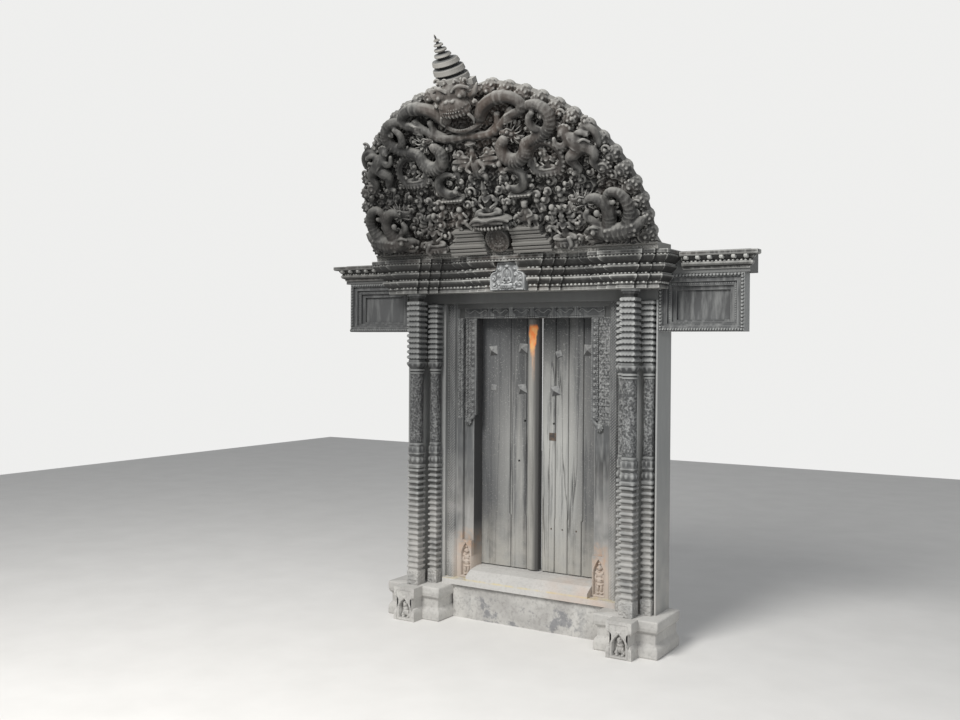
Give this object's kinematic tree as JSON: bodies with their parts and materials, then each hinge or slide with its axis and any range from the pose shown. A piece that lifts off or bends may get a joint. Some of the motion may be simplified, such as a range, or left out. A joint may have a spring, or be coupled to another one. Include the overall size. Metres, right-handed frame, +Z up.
{
  "type": "carved double-leaf temple door with frame",
  "caption": "Two pivoting plank leaves in a carved timber frame with columns, a stepped lintel and a leaning half-round carved arch on stone plinths.",
  "frame": {"origin": "on the ground under the middle of the opening, in the plane of the wall's front face", "axes": "+X to the right seen from the front, +Y into the wall, +Z up"},
  "size_m": [2.8, 1.1673, 3.3063],
  "materials": {
    "weathered_wood": "matte",
    "door_boards": "matte",
    "pale_plaque": "matte",
    "worn_stone": "matte",
    "old_iron": "matte"
  },
  "bodies": {
    "frame": {"back_post_left": "weathered_wood", "back_post_right": "weathered_wood", "carved_strip_left": "weathered_wood", "carved_strip_right": "weathered_wood", "central_deity": "weathered_wood", "cornice_lower": "weathered_wood", "cornice_upper": "weathered_wood", "door_head": "weathered_wood", "door_sill": "weathered_wood", "ear_cornice_left": "weathered_wood", "ear_cornice_right": "weathered_wood", "ear_panel_left": "weathered_wood", "ear_panel_right": "weathered_wood", "flying_attendant_left": "weathered_wood", "flying_attendant_right": "weathered_wood", "front_pillar_left": "weathered_wood", "front_pillar_right": "weathered_wood", "garuda": "weathered_wood", "head_pendants": "weathered_wood", "inner_pilaster_left": "weathered_wood", "inner_pilaster_right": "weathered_wood", "jamb_left": "weathered_wood", "jamb_right": "weathered_wood", "kirtimukha": "weathered_wood", "lintel_beam": "weathered_wood", "lintel_plaque": "pale_plaque", "makara_left": "weathered_wood", "makara_right": "weathered_wood", "naga_left": "weathered_wood", "naga_right": "weathered_wood", "niche_deity_left": "weathered_wood", "niche_deity_right": "weathered_wood", "outer_pilaster_left": "weathered_wood", "outer_pilaster_right": "weathered_wood", "plinth_left": "worn_stone", "plinth_right": "worn_stone", "scroll_border_left": "weathered_wood", "scroll_border_right": "weathered_wood", "seated_attendant_left": "weathered_wood", "seated_attendant_right": "weathered_wood", "threshold_stone": "worn_stone", "torana_base": "weathered_wood", "torana_crown": "weathered_wood", "torana_medallion": "weathered_wood", "torana_panel": "weathered_wood", "torana_ties": "old_iron"},
    "left_leaf": {"left_leaf_bosses": "door_boards", "left_leaf_hinge_plank": "door_boards", "left_leaf_ledges": "door_boards", "left_leaf_meeting_plank": "door_boards", "left_leaf_middle_plank": "door_boards"},
    "right_leaf": {"right_leaf_bosses": "door_boards", "right_leaf_hinge_plank": "door_boards", "right_leaf_inner_plank": "door_boards", "right_leaf_ledges": "door_boards", "right_leaf_meeting_plank": "door_boards", "right_leaf_outer_plank": "door_boards", "lock_plate": "old_iron", "leaf_nails": "old_iron"}
  },
  "joints": [
    {"name": "left_leaf_pivot", "type": "hinge", "parent": "frame", "child": "left_leaf", "pos_m": [-0.437, 0.2225, 0.318], "axis": [0, 0, 1], "range_deg": [0, 90]},
    {"name": "right_leaf_pivot", "type": "hinge", "parent": "frame", "child": "right_leaf", "pos_m": [0.437, 0.2225, 0.318], "axis": [0, 0, -1], "range_deg": [0, 90]}
  ]
}
